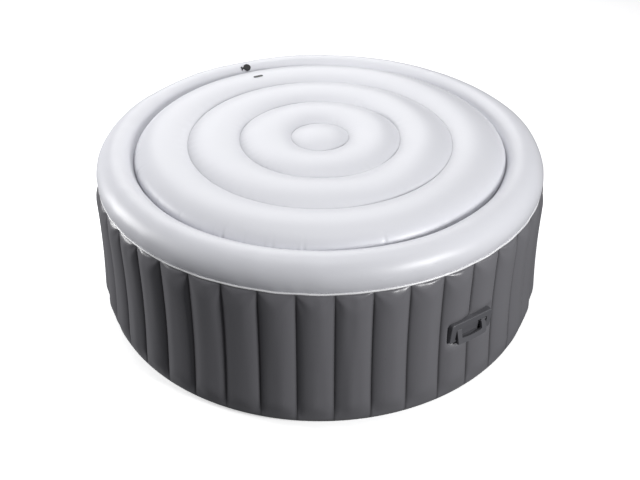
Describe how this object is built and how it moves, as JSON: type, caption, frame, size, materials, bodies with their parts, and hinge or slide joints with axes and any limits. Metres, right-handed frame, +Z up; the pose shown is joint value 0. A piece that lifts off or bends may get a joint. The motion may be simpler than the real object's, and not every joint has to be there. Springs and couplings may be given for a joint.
{
  "type": "inflatable hot tub",
  "caption": "Round inflatable tub with a ribbed air-filled wall, a tube rim, an inflatable ringed lid, swing handles and pump ports.",
  "frame": {"origin": "centre of the tub's underside, on the ground", "axes": "+Z up; the two carrying handles at +X and -X; the pump ports at +Y"},
  "size_m": [1.973, 1.989, 0.7372],
  "materials": {
    "pvc_grey": "satin laminated PVC",
    "pvc_silver": "satin silver PVC",
    "pvc_liner": "smooth PVC",
    "pvc_web": "mesh-backed PVC",
    "pvc_welt": "satin",
    "hose": "matte",
    "plastic_grey": "fine moulded",
    "plastic_black": "fine moulded",
    "plastic_light": "fine moulded",
    "rubber_seal": "matte",
    "spring_steel": "bright",
    "pin_steel": "bright"
  },
  "bodies": {
    "tub": {"base_sheet": "pvc_grey", "outer_wall": "pvc_grey", "rim_cover": "pvc_silver", "inner_wall": "pvc_liner", "wall_baffles": "pvc_web", "rim_welt": "pvc_welt", "inner_seam_tape": "pvc_liner", "floor_seam_tape": "pvc_web", "bubble_channel": "pvc_liner", "air_feed_hose": "hose", "port_panel": "pvc_grey", "outlet_port_fitting": "plastic_light", "outlet_port_gaskets": "rubber_seal", "outlet_port_nut": "plastic_light", "return_port_fitting": "plastic_light", "return_port_gaskets": "rubber_seal", "return_port_nut": "plastic_light", "air_port_fitting": "plastic_light", "air_port_gasket": "rubber_seal", "air_port_nut": "plastic_light", "drain_fitting": "plastic_light", "drain_gaskets": "rubber_seal", "drain_nut": "plastic_light", "right_handle_bezel": "plastic_grey", "right_handle_pins": "pin_steel", "left_handle_bezel": "plastic_grey", "left_handle_pins": "pin_steel", "air_valve_flange": "pvc_silver", "air_valve_body": "plastic_black", "air_valve_seat": "rubber_seal", "air_valve_spring": "spring_steel", "air_valve_hinge": "plastic_black"},
    "lid": {"lid_top_sheet": "pvc_silver", "lid_bottom_sheet": "pvc_liner", "lid_ring_webs": "pvc_web", "lid_valve_body": "pvc_silver"},
    "lid_valve_plug": {"lid_valve_plug": "plastic_light"},
    "right_bail": {"right_handle_bail": "plastic_grey"},
    "left_bail": {"left_handle_bail": "plastic_grey"},
    "air_cap": {"air_valve_cap": "plastic_black"},
    "air_poppet": {"air_valve_poppet": "plastic_black"},
    "drain_cap": {"drain_cap": "plastic_black", "drain_cap_seal": "rubber_seal"},
    "drain_plug": {"drain_plug": "rubber_seal"},
    "outlet_screen": {"outlet_debris_screen": "plastic_light"},
    "return_screen": {"return_debris_screen": "plastic_light"}
  },
  "joints": [
    {"name": "lid_lift", "type": "slide", "parent": "tub", "child": "lid", "axis": [0, 0, 1], "range_m": [0, 0.9]},
    {"name": "lid_plug_pull", "type": "slide", "parent": "lid", "child": "lid_valve_plug", "axis": [0, 0, -1], "range_m": [0, 0.03]},
    {"name": "right_handle_swing", "type": "hinge", "parent": "tub", "child": "right_bail", "pos_m": [0.962, 0.00042, 0.33798], "axis": [0, -0.9976, 0.0698], "range_deg": [0, 90]},
    {"name": "left_handle_swing", "type": "hinge", "parent": "tub", "child": "left_bail", "pos_m": [-0.962, -0.00042, 0.33798], "axis": [0, 0.9976, 0.0698], "range_deg": [0, 90]},
    {"name": "air_cap_open", "type": "hinge", "parent": "tub", "child": "air_cap", "pos_m": [-0.81369, 0.10125, 0.71624], "axis": [0.8375, -0.1334, -0.5299], "range_deg": [0, 150]},
    {"name": "air_poppet_push", "type": "slide", "parent": "tub", "child": "air_poppet", "axis": [-0.5233, 0.0834, -0.848], "range_m": [0, 0.005], "stiffness_N_per_m": 300, "springref_m": -0.002, "deforming": ["air_valve_spring"]},
    {"name": "drain_cap_off", "type": "slide", "parent": "tub", "child": "drain_cap", "axis": [-0.8777, 0.4792, 0], "range_m": [0, 0.04]},
    {"name": "drain_plug_pull", "type": "slide", "parent": "tub", "child": "drain_plug", "axis": [0.8777, -0.4792, 0], "range_m": [0, 0.05]},
    {"name": "outlet_screen_off", "type": "slide", "parent": "tub", "child": "outlet_screen", "axis": [0.0713, -0.9975, 0], "range_m": [0, 0.04]},
    {"name": "return_screen_off", "type": "slide", "parent": "tub", "child": "return_screen", "axis": [-0.0713, -0.9975, 0], "range_m": [0, 0.04]}
  ]
}
